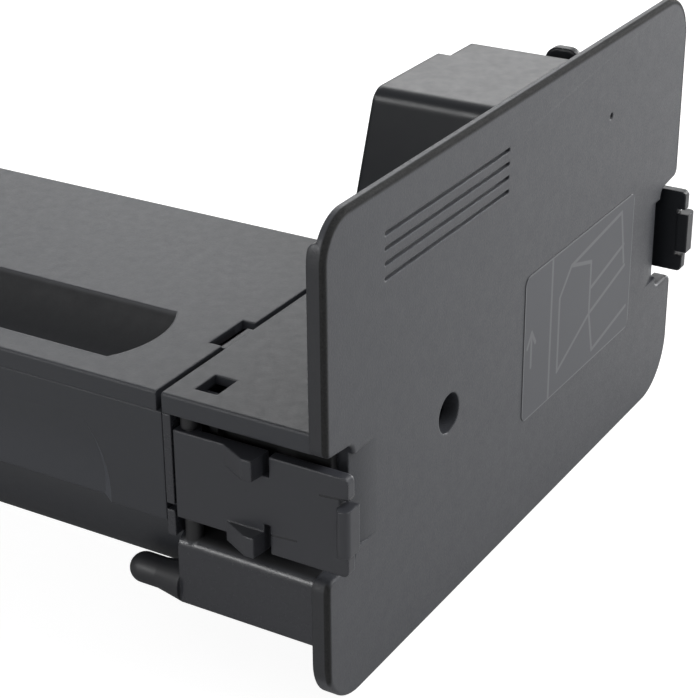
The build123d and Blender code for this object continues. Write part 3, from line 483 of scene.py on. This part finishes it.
def moulded(
    name,
    color,
    settings,
    gloss=0.5,
    grain=1.0,
    soft=1.0,
    drift=0.06,
    flow=0.0,
    creases=None,
    shade=None,
):
    """Grained plastic: fine grain over faint clouds of tone, and paler, smoother edges whose
    paleness is partly wear and partly a painted highlight. Flow adds long streaks of tone.
    Creases and shade are functions of the finish: the first marks thin mould lines, darkened as
    painted shade, the second gives the share of painted shade by which a place is darker and
    more matt, or of painted light by which it is paler."""
    cloud_size, streak_size, streak_stretch = 45 * MM, 6 * MM, (1.0, 0.06, 1.0)
    grain_tone, grain_gloss, coarse_gloss = 0.16 * grain, 0.18 * grain, 0.14
    edge_wear_and_highlight, edge_gloss = 0.5, 0.08
    crease_painted_shade, crease_depth = 0.55, 2.0
    painted_shade_gloss = 0.4
    coarse_scale, fine_share, coarse_share = 5, 0.8, 0.2

    finish = Finish(name)
    round_normal = finish.rounded(settings.edge_radius * soft)
    edge = finish.edges(round_normal)
    fine = finish.noise(settings.grain_size, detail=3.0, rough=0.62)
    coarse = finish.noise(settings.grain_size * coarse_scale)
    cloud = finish.noise(cloud_size)
    tone = 1.0 + (cloud - 0.5) * (2 * drift) + (fine - 0.5) * grain_tone
    if flow:
        lines = finish.noise(streak_size, place=finish.stretched(streak_stretch))
        tone = tone + (lines - 0.5) * flow
    # Creases: pressed in by the bump, and darker as painted shade in the grooves.
    if creases:
        line = creases(finish)
        tone = tone * (1.0 - line * crease_painted_shade)
        fine = fine - line * crease_depth
    # Paler edges: partly wear, partly a painted highlight on the rounded edges.
    tone = tone + edge * edge_wear_and_highlight
    rough = gloss + (coarse - 0.5) * coarse_gloss + (fine - 0.5) * grain_gloss - edge * edge_gloss
    # Painted light and shade: a positive share darkens the tone and makes it more matt, a negative
    # one pales it.
    if shade:
        dark = shade(finish)
        tone = tone * (1.0 - dark)
        rough = rough + dark.clamped() * painted_shade_gloss
    shown = finish.shift(color, tone)
    height = fine * fine_share + coarse * coarse_share
    normal = finish.bump(height, settings.grain_depth * grain, round_normal)
    return finish.shade(Base_Color=shown, Roughness=rough.clamped(), Normal=normal)


class PlasticShells(bpy.types.Operator):
    """Finish the plate, housing, covers, lid, tank, outlet and latches as grained plastic"""

    bl_idname = "cartridge.plastic_shells"
    bl_label = "Plastic Shells"

    def execute(self, context):
        settings = context.scene.cartridge.plastic
        plate = {"gloss": 0.42, "grain": 3.0, "soft": 2.0, "shade": plate_painted_rim_shade}
        tank = {"gloss": 0.45, "soft": 2.0, "flow": 0.06}
        housing = {"gloss": 0.26, "grain": 0.4, "soft": 2.0, "shade": housing_painted_shade}
        outlet = {"gloss": 0.30, "grain": 0.4}
        latch = {"gloss": 0.38, "grain": 0.6, "soft": 2.0}
        creased = {**latch, "creases": latch_creases}

        color = settings.plate_color
        dress(moulded("Plate Plastic", color, settings, **plate), "front_plate")
        color = settings.tank_color
        dress(moulded("Tank Plastic", color, settings, shade=tank_painted_light_and_shade, **tank), "toner_tank")
        dress(moulded("Lid Plastic", color, settings, shade=lid_painted_valley_shade, **tank), "hopper_lid")
        covers = moulded("Cover Plastic", color, settings, **tank)
        dress(covers, "end_cover", "side_cover", "fill_plug", "rear_cover")
        color = settings.housing_color
        dress(moulded("Housing Plastic", color, settings, **housing), "front_housing")
        plain = moulded("Outlet Plastic", color, settings, **outlet)
        dress(plain, "outlet_frame", "outlet_shutter")
        dress(moulded("Latch Plastic", color, settings, **creased), "latch_left")
        # The right latch is the same plastic as the left one; it takes the bin's darker colour as
        # painted shade.
        color = settings.bin_color
        dress(moulded("Latch Plastic In Painted Shade", color, settings, **latch), "latch_right")
        return {"FINISHED"}


class WasteBin(bpy.types.Operator):
    """Finish the waste toner bin as smooth plastic with a light sheen"""

    bl_idname = "cartridge.waste_bin"
    bl_label = "Waste Bin"

    def execute(self, context):
        settings = context.scene.cartridge.plastic
        smooth = {"gloss": 0.34, "grain": 0.15, "soft": 4.0, "drift": 0.04}
        material = moulded("Bin Plastic", settings.bin_color, settings, **smooth)
        dress(material, "waste_bin", "waste_bin_cover")
        return {"FINISHED"}


def label_print(across, up, wide, tall, width):
    """How inked a place on the label is: a rim, a column at the left with an arrow, and a
    line drawing of a box that slides into a slot."""
    rim_core, line_share, line_ink = 0.4, 1.8, 0.8
    column_share = 0.23
    column = wide * column_share
    slot_foot, slot_top = (17.0, 5.0), (22.5, 28.0)
    box_corner, arrow_tip = (33.0, 12.5), (3.5, 20.0)
    drawing = (
        ((column, 0.0), (column, tall)),
        (slot_foot, (17.0, 22.5), slot_top, (49.0, 31.0), (51.5, 18.0)),
        (slot_foot, box_corner, (33.0, 25.0), slot_top),
        (box_corner, (52.0, 17.0)),
        ((33.0, 18.5), (51.0, 22.5)),
        (box_corner, (35.5, 2.5), (54.0, 6.0)),
        ((3.5, 12.0), arrow_tip),
        ((1.6, 17.0), arrow_tip, (5.4, 17.0)),
    )
    rim = across.smaller(wide - across).smaller(up.smaller(tall - up))
    inked = rim.ramp(width, width * rim_core)
    for path in drawing:
        for start, end in zip(path, path[1:]):
            inked = inked.larger(stroke(across, up, start, end, width * line_share) * line_ink)
    return inked


class FrontLabel(bpy.types.Operator):
    """Finish the label as satin film with a plain line drawing"""

    bl_idname = "cartridge.front_label"
    bl_label = "Front Label"

    def execute(self, context):
        settings = context.scene.cartridge.label
        low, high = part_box("label")
        finish = Finish("Label Film")
        across = finish.past("X", low.x)
        up = finish.past("Z", low.z)
        wide = (high.x - low.x) / MM
        tall = (high.z - low.z) / MM
        inked = label_print(across, up, wide, tall, settings.line_width / MM)
        fine = finish.noise(0.4 * MM, detail=3.0, rough=0.6)
        cloud = finish.noise(20 * MM)
        paper = finish.shift(settings.film_color, 0.92 + cloud * 0.12 + fine * 0.06)
        color = finish.mix(inked * 0.9, paper, tuple(settings.print_color))
        rough = (0.42 + fine * 0.08 - inked * 0.08).clamped()
        normal = finish.bump(fine * 0.5 + inked * 0.5, 0.02 * MM, finish.rounded(0.15 * MM))
        dress(finish.shade(Base_Color=color, Roughness=rough, Normal=normal), "label")
        return {"FINISHED"}


def acetal():
    """Cream acetal with faint clouds and paler edges."""
    cream, pale_cream = (0.70, 0.68, 0.61, 1.0), (0.78, 0.76, 0.70, 1.0)
    worn = (0.86, 0.85, 0.81, 1.0)
    finish = Finish("Gear Acetal")
    soft = finish.rounded(0.15 * MM)
    fine = finish.noise(0.35 * MM)
    cloud = finish.noise(9 * MM, detail=3.0)
    color = finish.mix(cloud.ramp(0.3, 0.7), cream, pale_cream)
    color = finish.mix(finish.edges(soft) * 0.4, color, worn)
    rough = (0.34 + cloud * 0.1 + fine * 0.05).clamped()
    normal = finish.bump(fine, 0.008 * MM, soft)
    return finish.shade(Base_Color=color, Roughness=rough, Normal=normal)


def pale_plastic():
    """Pale grey plastic under patches of dark toner dust."""
    bare, dusty = (0.58, 0.58, 0.56, 1.0), (0.10, 0.10, 0.11, 1.0)
    finish = Finish("Pale Plastic")
    dust = finish.noise(5 * MM, detail=5.0, rough=0.7).ramp(0.48, 0.72)
    specks = finish.noise(0.5 * MM)
    color = finish.mix(dust * 0.55, bare, dusty)
    rough = (0.4 + dust * 0.35).clamped()
    normal = finish.bump(specks, 0.012 * MM, finish.rounded(0.2 * MM))
    return finish.shade(Base_Color=color, Roughness=rough, Normal=normal)


def clear_film():
    """Milky film that lets some light through, with drawn streaks."""
    streak, ground = (0.62, 0.63, 0.61, 1.0), (0.78, 0.79, 0.77, 1.0)
    finish = Finish("Agitator Film")
    streaks = finish.noise(1.5 * MM, detail=3.0, place=finish.stretched((1.0, 0.1, 1.0)))
    color = finish.mix(streaks, streak, ground)
    rough = (0.12 + streaks * 0.16).clamped()
    alpha = (0.62 + streaks * 0.2).clamped()
    normal = finish.bump(streaks, 0.02 * MM)
    return finish.shade(Base_Color=color, Roughness=rough, Alpha=alpha, Normal=normal)


class DriveParts(bpy.types.Operator):
    """Finish the gears, coupler and bushes as acetal, and the auger and agitator as pale plastic"""

    bl_idname = "cartridge.drive_parts"
    bl_label = "Drive Parts"

    def execute(self, context):
        cream = acetal()
        dress(cream, "drive_coupler", "auger_gear", "agitator_gear")
        dress(cream, "auger_bush", "agitator_bush")
        dress(pale_plastic(), "feed_auger", "agitator_shaft")
        dress(clear_film(), "agitator_film")
        return {"FINISHED"}


def pressed_felt():
    """Grey felt with fibres that lie along two axes, and tufts."""
    dark_wool, pale_wool = (0.42, 0.41, 0.38, 1.0), (0.72, 0.70, 0.66, 1.0)
    finish = Finish("Pressed Felt")
    flat = finish.stretched((1.0, 1.0, 0.35))
    fibres = finish.noise(0.25 * MM, detail=4.0, rough=0.7, place=flat)
    tufts = finish.noise(1.2 * MM, detail=3.0)
    color = finish.mix(fibres, dark_wool, pale_wool)
    rough = (0.85 + fibres * 0.1).clamped()
    normal = finish.bump(fibres * 0.6 + tufts * 0.4, 0.15 * MM)
    return finish.shade(Base_Color=color, Roughness=rough, Normal=normal)


def cell_foam():
    """Black foam with small open cells, whose pits are darkened as painted shade."""
    pit_painted_shade, wall = (0.012, 0.012, 0.013, 1.0), (0.055, 0.055, 0.058, 1.0)
    finish = Finish("Cell Foam")
    pores = finish.cells(0.45 * MM).ramp(0.15, 0.6)
    # Painted shade in the pits of the cells.
    color = finish.mix(pores, pit_painted_shade, wall)
    rough = (0.95 - pores * 0.15).clamped()
    return finish.shade(Base_Color=color, Roughness=rough, Normal=finish.bump(pores, 0.12 * MM))


class Seals(bpy.types.Operator):
    """Finish the shaft seals as pressed felt and the outlet gasket as fine foam"""

    bl_idname = "cartridge.seals"
    bl_label = "Seals"

    def execute(self, context):
        dress(pressed_felt(), "auger_seal", "agitator_seal")
        dress(cell_foam(), "outlet_gasket")
        return {"FINISHED"}


def solder_mask():
    """Green mask over copper traces that run along the board, with its edge bare."""
    mask, over_copper = (0.010, 0.085, 0.035, 1.0), (0.022, 0.150, 0.062, 1.0)
    bare_board = (0.32, 0.30, 0.18, 1.0)
    trace_width, trace_blur, trace_end = 0.8, 0.1, (3.4, 3.7)
    low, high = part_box("memory_board")
    finish = Finish("Solder Mask")
    along = finish.past("Y", (low.y + high.y) / 2)
    up = finish.past("Z", (low.z + high.z) / 2)
    wave = up.math("PINGPONG", trace_width) - trace_width / 2
    copper = wave.ramp(-trace_blur, trace_blur) * (1.0 - abs(along).ramp(*trace_end))
    weave = finish.noise(0.15 * MM)
    color = finish.mix(copper, mask, over_copper)
    color = finish.mix(finish.edges(finish.rounded(0.12 * MM)) * 0.6, color, bare_board)
    rough = (0.3 + weave * 0.15).clamped()
    normal = finish.bump(copper * 0.7 + weave * 0.3, 0.03 * MM)
    return finish.shade(Base_Color=color, Roughness=rough, Normal=normal)


def contact_gold():
    """Gold plate, finely scratched by the machine's contacts."""
    scratch, gold = (0.80, 0.58, 0.24, 1.0), (0.93, 0.72, 0.36, 1.0)
    finish = Finish("Contact Gold")
    scratches = finish.noise(0.12 * MM, detail=3.0, place=finish.stretched((1.0, 0.08, 1.0)))
    color = finish.mix(scratches, scratch, gold)
    rough = (0.18 + scratches * 0.2).clamped()
    normal = finish.bump(scratches, 0.004 * MM)
    return finish.shade(Base_Color=color, Metallic=1.0, Roughness=rough, Normal=normal)


class MemoryBoard(bpy.types.Operator):
    """Finish the memory board with solder mask over faint traces, and its pads with gold"""

    bl_idname = "cartridge.memory_board"
    bl_label = "Memory Board"

    def execute(self, context):
        dress(solder_mask(), "memory_board")
        dress(contact_gold(), "contact_pads")
        return {"FINISHED"}


def steel(name, color, rough=0.28):
    """Drawn or plated steel: fine lines and clouds in its gloss."""
    finish = Finish(name)
    lines = finish.noise(0.08 * MM, place=finish.stretched((1.0, 1.0, 0.1)))
    cloud = finish.noise(1.5 * MM, detail=3.0)
    shown = finish.shift(color, 0.88 + cloud * 0.16 + lines * 0.08)
    gloss = (rough - 0.08 + cloud * 0.14 + lines * 0.06).clamped()
    normal = finish.bump(lines, 0.003 * MM, finish.rounded(0.1 * MM))
    return finish.shade(Base_Color=shown, Metallic=1.0, Roughness=gloss, Normal=normal)


class LatchPins(bpy.types.Operator):
    """Finish the latch pins as drawn steel"""

    bl_idname = "cartridge.latch_pins"
    bl_label = "Latch Pins"

    def execute(self, context):
        color = context.scene.cartridge.spring.steel_color
        dress(steel("Pin Steel", color), "latch_pin_left", "latch_pin_right")
        return {"FINISHED"}


def grid_piece(name, points):
    """Mesh from a grid of points, rows by columns: neighbours in the grid become faces, the
    columns close on themselves, and fans join the first and last rows to their centres."""
    rows, columns, _ = points.shape
    number = np.arange(rows * columns).reshape(rows, columns)
    ahead = np.roll(number, -1, axis=1)
    faces = np.stack([number[:-1], ahead[:-1], ahead[1:], number[1:]], axis=-1)
    faces = faces.reshape(-1, 4).tolist()
    centres = np.stack([points[0].mean(axis=0), points[-1].mean(axis=0)])
    first, last = rows * columns, rows * columns + 1
    faces += [(first, b, a) for a, b in zip(number[0], ahead[0])]
    faces += [(last, a, b) for a, b in zip(number[-1], ahead[-1])]
    corners = np.concatenate([points.reshape(-1, 3), centres])
    mesh = bpy.data.meshes.new(name)
    mesh.from_pydata(corners.tolist(), [], faces)
    mesh.validate()
    mesh.shade_smooth()
    piece = bpy.data.objects.new(name, mesh)
    bpy.context.scene.collection.objects.link(piece)
    return piece


def coil(name, start, end, radius, wire, turns):
    """Compression spring from start to end. The wire's centre runs round a circle of that
    radius, and its advance along the axis is a ramp of the angle that is level in the first
    and last turns. The wire's own circle lies in the plane of the radius and the axis."""
    steps_per_turn, ring_points = 40, 12
    flat = 0.8 / turns
    overlap = 0.54 * wire
    steps = np.linspace(0.0, 1.0, int(turns * steps_per_turn))
    angle = 2 * pi * turns * steps
    share = np.clip((steps - flat) / (1 - 2 * flat), 0.0, 1.0)
    axis = np.subtract(end, start)
    length = np.linalg.norm(axis)
    axis = axis / length
    side = np.cross(axis, (0.0, 0.0, 1.0))
    rise = np.cross(axis, side)
    lift = wire + (length - 2 * wire) * share
    lay = overlap * turns * (steps - share)
    outwards = np.cos(angle)[:, None] * side + np.sin(angle)[:, None] * rise
    middle = np.asarray(start) + (lift + lay)[:, None] * axis + radius * outwards
    ring = np.linspace(0.0, 2 * pi, ring_points, endpoint=False)
    points = (
        middle[:, None, :]
        + wire * np.cos(ring)[None, :, None] * outwards[:, None, :]
        + wire * np.sin(ring)[None, :, None] * axis
    )
    return grid_piece(name, points)


class LatchSprings(bpy.types.Operator):
    """Replace the latch springs with coils whose end turns lie flat"""

    bl_idname = "cartridge.latch_springs"
    bl_label = "Latch Springs"

    def execute(self, context):
        settings = context.scene.cartridge.spring
        wire_steel = steel("Spring Steel", settings.steel_color, rough=0.22)
        for side, node in ((-1, "latch_spring_left"), (1, "latch_spring_right")):
            low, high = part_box(node)
            middle = (low + high) / 2
            radius = (high.y - low.y) / 2 - settings.wire_radius
            outer = (low.x if side < 0 else high.x, middle.y, middle.z)
            inner = (high.x if side < 0 else low.x, middle.y, middle.z)
            name = f"spring_coil_{side + 1}"
            piece = coil(name, outer, inner, radius, settings.wire_radius, settings.turns)
            piece.data.materials.append(wire_steel)
            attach(piece, "cartridge")
            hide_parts(node)
            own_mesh(piece)
        return {"FINISHED"}


def screw(name, crown, head_radius, settings):
    """Pan head screw along +Y with its crown at that point. A polar grid: the crown drops
    with the square of the radius, four arms of a cross are pressed into it, and the shank's
    radius rises and falls with the helical phase of its thread."""
    columns, head_rows, shank_rows = 96, 26, 60
    centre_share = 0.02
    arm_width, arm_reach = 0.42 * MM, 1.5 * MM
    recess_edge, recess_wall = 1.15, 0.3
    tip_share, tip_radius, root_radius = 0.12, 0.05, 0.82
    head = settings.head_height

    angle = np.linspace(0.0, 2 * pi, columns, endpoint=False)
    round_x, round_z = np.cos(angle), np.sin(angle)
    share = np.linspace(centre_share, 1.0, head_rows)[:, None]
    across = head_radius * share * round_x
    up = head_radius * share * round_z
    arm = np.minimum(
        np.maximum(np.abs(across) / arm_width, np.abs(up) / arm_reach),
        np.maximum(np.abs(up) / arm_width, np.abs(across) / arm_reach),
    )
    pressed = settings.recess_depth * np.clip((recess_edge - arm) / recess_wall, 0.0, 1.0)
    drop = settings.dome * share**2 + pressed
    top = np.stack([across, -drop, up], axis=-1)
    rim = np.stack([head_radius * round_x, np.full(columns, -head), head_radius * round_z], axis=-1)

    level = np.linspace(0.0, 1.0, shank_rows)[:, None]
    depth = head + level * settings.shank_length
    taper = np.clip((1.0 - level) / tip_share, tip_radius, 1.0)
    phase = depth / settings.thread_pitch - angle / (2 * pi)
    ridge = np.abs(phase % 1.0 - 0.5) * 2
    thickness = settings.shank_radius * taper * (root_radius + (1 - root_radius) * ridge)
    sunk = -np.broadcast_to(depth, thickness.shape)
    shank = np.stack([thickness * round_x, sunk, thickness * round_z], axis=-1)
    points = np.concatenate([top, rim[None], shank]) + np.asarray(crown)
    return grid_piece(name, points[:, ::-1])


class CoverScrews(bpy.types.Operator):
    """Replace the rear cover's screws with cross-recessed pan heads"""

    bl_idname = "cartridge.cover_screws"
    bl_label = "Cover Screws"

    def execute(self, context):
        settings = context.scene.cartridge.screw
        low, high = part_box("cover_screws")
        radius = (high.z - low.z) / 2
        height = (low.z + high.z) / 2
        zinc = steel("Zinc Plate", (0.60, 0.61, 0.60, 1.0), rough=0.32)
        for number, x in enumerate((low.x + radius, high.x - radius)):
            piece = screw(f"pan_screw_{number}", (x, high.y, height), radius, settings)
            piece.data.materials.append(zinc)
            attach(piece, "cartridge")
        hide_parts("cover_screws")
        return {"FINISHED"}


def studio_floor(settings):
    """Matt floor that keeps the shadow, with a glow that the camera, gloss and glass see. In
    gloss it is dimmer towards the left, and dimmer still under the cartridge, where a shadow is
    painted into the glow."""
    camera_glow = 0.91
    matt_gray = (0.42, 0.42, 0.42, 1.0)
    dim_left, side_span = 0.40, (-0.25, 0.30)
    under_left, under_right, under_front = (-0.11, -0.06), (0.11, 0.06), (-0.24, -0.18)
    under_shadow_share = 0.8
    finish = Finish("Studio Floor")
    seen, mirrored, through = finish.rays()
    glow = seen * camera_glow + (mirrored + through) * settings.floor_mirror
    across, along = finish.axis("X"), finish.axis("Y")
    # Painted shadow: the glow that gloss sees is dimmed under the cartridge.
    under = across.ramp(*under_left) * across.ramp(*under_right) * along.ramp(*under_front)
    bright = across.ramp(*side_span) * (1 - dim_left) + dim_left
    lit = seen.larger(bright * (1.0 - under * under_shadow_share))
    matt = finish.add("BsdfDiffuse", inputs={"Color": matt_gray})
    light = finish.add("Emission", inputs={"Color": lit, "Strength": glow})
    both = finish.add("AddShader", inputs={0: matt, 1: light})
    finish.add("OutputMaterial", inputs={"Surface": both})
    return finish.owner


def studio_sky(settings):
    """Even light from all round, white to the camera and a little dimmer from the left."""
    dim_left, side_span = 0.7, (-0.7, 0.4)
    sky = Finish("Studio Sky", bpy.data.worlds.new("Studio Sky"))
    seen, mirrored, through = sky.rays()
    shown = seen.larger(through)
    gain = settings.sky_mirror - settings.sky_fill
    strength = shown + (1.0 - shown) * (settings.sky_fill + mirrored * gain)
    facing = sky.axis("X", sky.add("TexCoord", output="Generated"))
    lit = shown.larger(facing.ramp(*side_span) * (1 - dim_left) + dim_left)
    light = sky.add("Background", inputs={"Color": lit, "Strength": strength})
    sky.add("OutputWorld", inputs={"Surface": light})
    return sky.owner


def lamp(name, place, target, size, power, matt=True):
    """Rectangular area lamp that points at a target. Without matt it shows in gloss alone."""
    light = bpy.data.lights.new(name, "AREA")
    light.shape = "RECTANGLE"
    light.size, light.size_y = size
    light.energy = power
    holder = bpy.data.objects.new(name, light)
    holder.location = place
    holder.rotation_euler = (Vector(target) - Vector(place)).to_track_quat("-Z", "Y").to_euler()
    holder.visible_diffuse = matt
    bpy.context.scene.collection.objects.link(holder)


class Studio(bpy.types.Operator):
    """Set the floor, the soft lamps and the camera"""

    bl_idname = "cartridge.studio"
    bl_label = "Studio"

    def execute(self, context):
        settings = context.scene.cartridge.studio
        scene = context.scene
        half = settings.floor_size / 2
        mesh = bpy.data.meshes.new("floor")
        corners = [(-half, -half, 0), (half, -half, 0), (half, half, 0), (-half, half, 0)]
        mesh.from_pydata(corners, [], [(0, 1, 2, 3)])
        floor = bpy.data.objects.new("floor", mesh)
        scene.collection.objects.link(floor)
        mesh.materials.append(studio_floor(settings))
        scene.world = studio_sky(settings)

        middle, plate, tank = (-0.02, -0.15, 0.04), (0.0, -0.21, 0.05), (-0.08, -0.19, 0.03)
        lamp("key", (0.5, -1.1, 1.2), middle, (1.0, 0.8), settings.key_power)
        lamp("back panel", (1.35, 0.75, 0.80), middle, (1.1, 0.7), settings.back_power)
        lamp("side panel", (-1.2, -0.1, 0.35), middle, (0.8, 0.5), settings.side_power)
        lamp("right panel", (1.3, -0.40, 0.25), plate, (0.5, 0.5), settings.right_power)
        lamp("strip", (-1.11, 0.43, 0.55), tank, (0.6, 0.12), settings.strip_power, matt=False)

        view = bpy.data.cameras.new("view")
        view.sensor_width = 36.0
        view.lens = settings.lens
        view.clip_start, view.clip_end = 0.01, 50.0
        camera = bpy.data.objects.new("view", view)
        camera.location = settings.camera_place
        camera.rotation_euler = Euler(settings.camera_turn, "XYZ")
        scene.collection.objects.link(camera)
        scene.camera = camera
        scene.view_settings.view_transform = "Standard"
        return {"FINISHED"}


OPERATORS = (
    PlasticShells,
    WasteBin,
    FrontLabel,
    DriveParts,
    Seals,
    MemoryBoard,
    LatchPins,
    LatchSprings,
    CoverScrews,
    Studio,
)


class CartridgePanel(bpy.types.Panel):
    """Settings and steps of the toner cartridge"""

    bl_idname = "VIEW3D_PT_cartridge"
    bl_label = "Toner Cartridge"
    bl_space_type = "VIEW_3D"
    bl_region_type = "UI"
    bl_category = "Cartridge"

    def draw(self, context):
        settings = context.scene.cartridge
        for part in settings.__annotations__:
            box = self.layout.box()
            group = getattr(settings, part)
            for name in group.__annotations__:
                box.prop(group, name)
        for operator in OPERATORS:
            self.layout.operator(operator.bl_idname)


CLASSES = (
    PlasticSettings,
    LabelSettings,
    SpringSettings,
    ScrewSettings,
    StudioSettings,
    CartridgeSettings,
    *OPERATORS,
    CartridgePanel,
)


def register():
    """Register the classes and the scene's settings."""
    for item in CLASSES:
        bpy.utils.register_class(item)
    bpy.types.Scene.cartridge = PointerProperty(type=CartridgeSettings, name="Cartridge")


def unregister():
    """Take the settings and the classes away again."""
    del bpy.types.Scene.cartridge
    for item in reversed(CLASSES):
        bpy.utils.unregister_class(item)


def main():
    """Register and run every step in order."""
    register()
    for operator in OPERATORS:
        group, name = operator.bl_idname.split(".")
        getattr(getattr(bpy.ops, group), name)()


if __name__ == "__main__":
    main()
